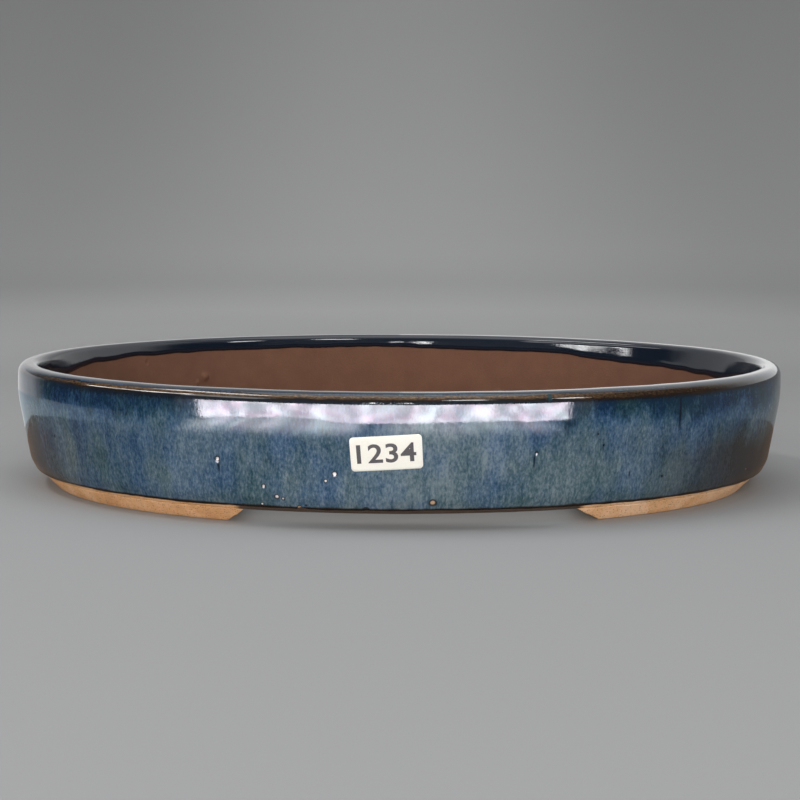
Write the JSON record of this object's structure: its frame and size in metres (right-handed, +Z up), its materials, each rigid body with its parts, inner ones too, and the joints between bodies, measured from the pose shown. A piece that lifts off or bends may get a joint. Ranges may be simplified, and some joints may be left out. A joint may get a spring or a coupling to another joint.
{
  "type": "bonsai pot",
  "caption": "Shallow oval stoneware bonsai pot with a streaked blue glaze, a rounded rim, a bare clay inside, low feet and a small number label.",
  "frame": {"origin": "on the ground, under the middle of the pot's oval outline", "axes": "+X along the long way of the oval, -Y towards the front that carries the number label, +Z up"},
  "size_m": [0.315, 0.241, 0.0502],
  "materials": {
    "bare_clay": "matt unglazed stoneware, fired warm brown",
    "foot_clay": "matt unglazed stoneware with dark grog, fired tan",
    "blue_glaze": "glossy streaked blue-grey glaze, brown where it thins over the rim",
    "label_paper": "satin self-adhesive paper with printed digits"
  },
  "bodies": {
    "root": {"clay_wall": "bare_clay", "floor_slab": "bare_clay", "foot_left": "foot_clay", "foot_right": "foot_clay", "glaze_coat": "blue_glaze", "number_label": "label_paper"}
  },
  "joints": []
}
